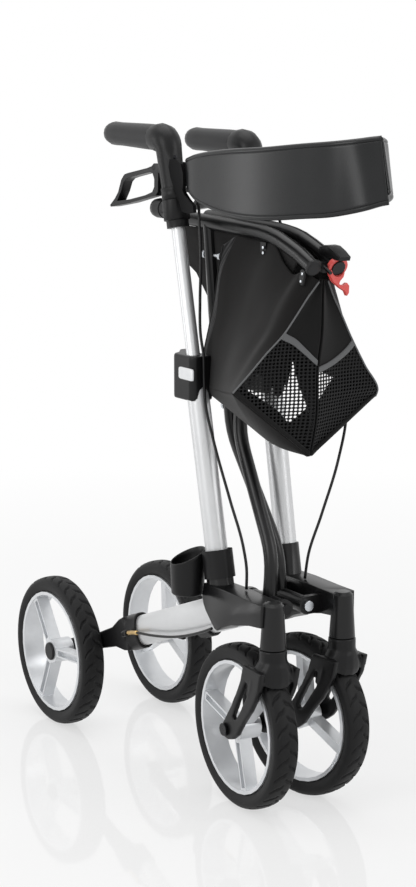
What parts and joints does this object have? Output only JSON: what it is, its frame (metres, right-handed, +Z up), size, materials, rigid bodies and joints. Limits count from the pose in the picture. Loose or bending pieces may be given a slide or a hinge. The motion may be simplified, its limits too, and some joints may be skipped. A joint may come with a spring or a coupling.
{
  "type": "outdoor rollator",
  "caption": "Folding wheeled walker, standing folded: swivelling front wheels, height-adjustable handles with brake levers, seat, bag and padded back strap.",
  "frame": {"origin": "floor level, in the middle of the overall length and width of the folded walker", "axes": "+Z up; -Y towards the front wheels; -X towards the user's right"},
  "size_m": [0.2326, 0.8008, 0.9265],
  "materials": {
    "black_paint": "satin black powder coat",
    "silver": "satin silver anodised",
    "rim_silver": "silver painted, semi-gloss",
    "tyre": "matte",
    "grip_rubber": "soft matte",
    "black_plastic": "fine grained",
    "red_plastic": "smooth",
    "zinc": "bright zinc plated",
    "black_fabric": "woven nylon",
    "padding": "padded, semi-matte"
  },
  "bodies": {
    "frame_r": {"side_arm_r": "black_paint", "lower_tube_r": "silver", "dropout_r": "black_plastic", "upright_r": "silver", "seat_bracket_r": "black_plastic", "rear_axle_r": "zinc", "pivot_bolt_r": "zinc", "brake_cable_r": "black_plastic", "lower_cable_r": "black_plastic", "cane_cup_r": "black_plastic"},
    "handle_r": {"height_clamp_r": "black_plastic", "handle_housing_r": "black_plastic", "grip_r": "grip_rubber"},
    "clamp_knob_r": {"clamp_knob_r": "black_plastic"},
    "brake_lever_r": {"brake_lever_r": "black_plastic"},
    "brake_shoe_r": {"brake_shoe_r": "black_plastic"},
    "strap_r": {"backrest_strap_r": "padding"},
    "caster_r": {"caster_fork_r": "black_plastic", "caster_axle_r": "zinc"},
    "caster_wheel_r": {"caster_tyre_r": "tyre", "caster_rim_r": "rim_silver"},
    "rear_wheel_r": {"rear_tyre_r": "tyre", "rear_rim_r": "rim_silver", "hub_cap_r": "black_plastic"},
    "seat_r": {"seat_panel_r": "black_fabric"},
    "frame_l": {"side_arm_l": "black_paint", "lower_tube_l": "silver", "dropout_l": "black_plastic", "upright_l": "silver", "seat_bracket_l": "black_plastic", "rear_axle_l": "zinc", "pivot_bolt_l": "zinc", "brake_cable_l": "black_plastic", "lower_cable_l": "black_plastic"},
    "handle_l": {"height_clamp_l": "black_plastic", "handle_housing_l": "black_plastic", "grip_l": "grip_rubber"},
    "clamp_knob_l": {"clamp_knob_l": "black_plastic"},
    "brake_lever_l": {"brake_lever_l": "black_plastic"},
    "brake_shoe_l": {"brake_shoe_l": "black_plastic"},
    "strap_l": {"backrest_strap_l": "padding"},
    "caster_l": {"caster_fork_l": "black_plastic", "caster_axle_l": "zinc"},
    "caster_wheel_l": {"caster_tyre_l": "tyre", "caster_rim_l": "rim_silver"},
    "rear_wheel_l": {"rear_tyre_l": "tyre", "rear_rim_l": "rim_silver", "hub_cap_l": "black_plastic"},
    "seat_l": {"seat_panel_l": "black_fabric"},
    "cross_a": {"cross_tube_a": "black_paint", "centre_bolt": "zinc", "seat_rail_l": "black_paint"},
    "cross_b": {"cross_tube_b": "black_paint", "stay_bolt": "zinc", "seat_rail_r": "black_paint"},
    "hook": {"fold_hook": "red_plastic"},
    "bag_r": {"bag": "black_fabric", "bag_tab_r": "black_plastic"},
    "bag_l": {"bag_tab_l": "black_plastic"}
  },
  "joints": [
    {"name": "fold", "type": "hinge", "parent": "frame_r", "child": "cross_a", "pos_m": [-0.018, -0.16465, 0.285], "axis": [0, 1, 0], "range_deg": [0, 50.5], "deforming": ["bag", "seat_panel_r", "seat_panel_l", "backrest_strap_r", "backrest_strap_l"]},
    {"name": "cross_pivot", "type": "hinge", "parent": "cross_a", "child": "cross_b", "pos_m": [0, -0.06465, 0.5375], "axis": [0, 1, 0], "range_deg": [-101, 0]},
    {"name": "frame_pivot_l", "type": "hinge", "parent": "cross_b", "child": "frame_l", "pos_m": [0.018, -0.16465, 0.285], "axis": [0, 1, 0], "range_deg": [0, 50.5]},
    {"name": "seat_hinge_r", "type": "hinge", "parent": "cross_b", "child": "seat_r", "pos_m": [-0.018, -0.16465, 0.787], "axis": [0, 1, 0], "range_deg": [-36, 0]},
    {"name": "seat_hinge_l", "type": "hinge", "parent": "cross_a", "child": "seat_l", "pos_m": [0.018, -0.16465, 0.787], "axis": [0, 1, 0], "range_deg": [0, 36]},
    {"name": "bag_hang", "type": "hinge", "parent": "cross_b", "child": "bag_r", "pos_m": [-0.018, -0.16465, 0.787], "axis": [0, 1, 0], "range_deg": [0, 50.5]},
    {"name": "bag_spread", "type": "slide", "parent": "bag_r", "child": "bag_l", "axis": [1, 0, 0], "range_m": [0, 0.377]},
    {"name": "handle_height_r", "type": "slide", "parent": "frame_r", "child": "handle_r", "axis": [-0.0157, 0.1966, 0.9804], "range_m": [0, 0.12], "deforming": ["brake_cable_r"]},
    {"name": "brake_lever_r", "type": "hinge", "parent": "handle_r", "child": "brake_lever_r", "pos_m": [-0.06561, 0.02485, 0.8655], "axis": [1, 0, 0], "range_deg": [0, 14], "stiffness_Nm_per_rad": 0.4, "springref_deg": -6.88},
    {"name": "brake_shoe_r", "type": "slide", "parent": "frame_r", "child": "brake_shoe_r", "axis": [0, -0.9367, 0.3502], "range_m": [0, 0.002]},
    {"name": "clamp_knob_r", "type": "hinge", "parent": "handle_r", "child": "clamp_knob_r", "pos_m": [-0.06472, 0.01265, 0.81], "axis": [0, 1, 0], "range_deg": [0, 270]},
    {"name": "strap_turn_r", "type": "hinge", "parent": "handle_r", "child": "strap_r", "pos_m": [-0.0705, -0.05315, 0.86], "axis": [0, 0, 1], "range_deg": [0, 38]},
    {"name": "caster_swivel_r", "type": "hinge", "parent": "frame_r", "child": "caster_r", "pos_m": [-0.0565, -0.24465, 0.2426], "axis": [0, 0, 1], "range_deg": [-2, 200]},
    {"name": "caster_wheel_r", "type": "hinge", "parent": "caster_r", "child": "caster_wheel_r", "pos_m": [-0.05336, -0.17272, 0.115], "axis": [0.999, -0.0436, 0], "continuous": true},
    {"name": "rear_wheel_r", "type": "hinge", "parent": "frame_r", "child": "rear_wheel_r", "pos_m": [-0.0965, 0.28535, 0.115], "axis": [1, 0, 0], "continuous": true},
    {"name": "handle_height_l", "type": "slide", "parent": "frame_l", "child": "handle_l", "axis": [0.0157, 0.1966, 0.9804], "range_m": [0, 0.12], "deforming": ["brake_cable_l"]},
    {"name": "brake_lever_l", "type": "hinge", "parent": "handle_l", "child": "brake_lever_l", "pos_m": [0.06545, 0.02285, 0.8555], "axis": [1, 0, 0], "range_deg": [0, 14], "stiffness_Nm_per_rad": 0.4, "springref_deg": -6.88},
    {"name": "brake_shoe_l", "type": "slide", "parent": "frame_l", "child": "brake_shoe_l", "axis": [0, -0.9367, 0.3502], "range_m": [0, 0.002]},
    {"name": "clamp_knob_l", "type": "hinge", "parent": "handle_l", "child": "clamp_knob_l", "pos_m": [0.06456, 0.01064, 0.8], "axis": [0, 1, 0], "range_deg": [0, 270]},
    {"name": "strap_turn_l", "type": "hinge", "parent": "handle_l", "child": "strap_l", "pos_m": [0.0705, -0.05315, 0.86], "axis": [0, 0, -1], "range_deg": [0, 38]},
    {"name": "caster_swivel_l", "type": "hinge", "parent": "frame_l", "child": "caster_l", "pos_m": [0.0565, -0.24465, 0.2426], "axis": [0, 0, -1], "range_deg": [-2, 200]},
    {"name": "caster_wheel_l", "type": "hinge", "parent": "caster_l", "child": "caster_wheel_l", "pos_m": [0.04524, -0.17354, 0.115], "axis": [0.9877, 0.1564, 0], "continuous": true},
    {"name": "rear_wheel_l", "type": "hinge", "parent": "frame_l", "child": "rear_wheel_l", "pos_m": [0.0965, 0.28535, 0.115], "axis": [1, 0, 0], "continuous": true},
    {"name": "hook_swing", "type": "hinge", "parent": "cross_a", "child": "hook", "pos_m": [0.018, -0.27515, 0.74913], "axis": [0, -0.9042, -0.427], "range_deg": [0, 244]}
  ],
  "couplings": [
    {"joint": "cross_pivot", "follows": "fold", "ratio": -2},
    {"joint": "frame_pivot_l", "follows": "fold", "ratio": 1},
    {"joint": "seat_hinge_r", "follows": "fold", "ratio": -0.6942},
    {"joint": "seat_hinge_l", "follows": "fold", "ratio": 0.6942},
    {"joint": "bag_hang", "follows": "fold", "ratio": 1},
    {"joint": "bag_spread", "follows": "fold", "m_per_rad": 0.42724},
    {"joint": "brake_shoe_r", "follows": "brake_lever_r", "m_per_rad": 0.008177},
    {"joint": "strap_turn_r", "follows": "fold", "ratio": 0.72736},
    {"joint": "handle_height_l", "follows": "handle_height_r", "ratio": 1},
    {"joint": "brake_shoe_l", "follows": "brake_lever_l", "m_per_rad": 0.008177},
    {"joint": "strap_turn_l", "follows": "fold", "ratio": 0.72736}
  ]
}
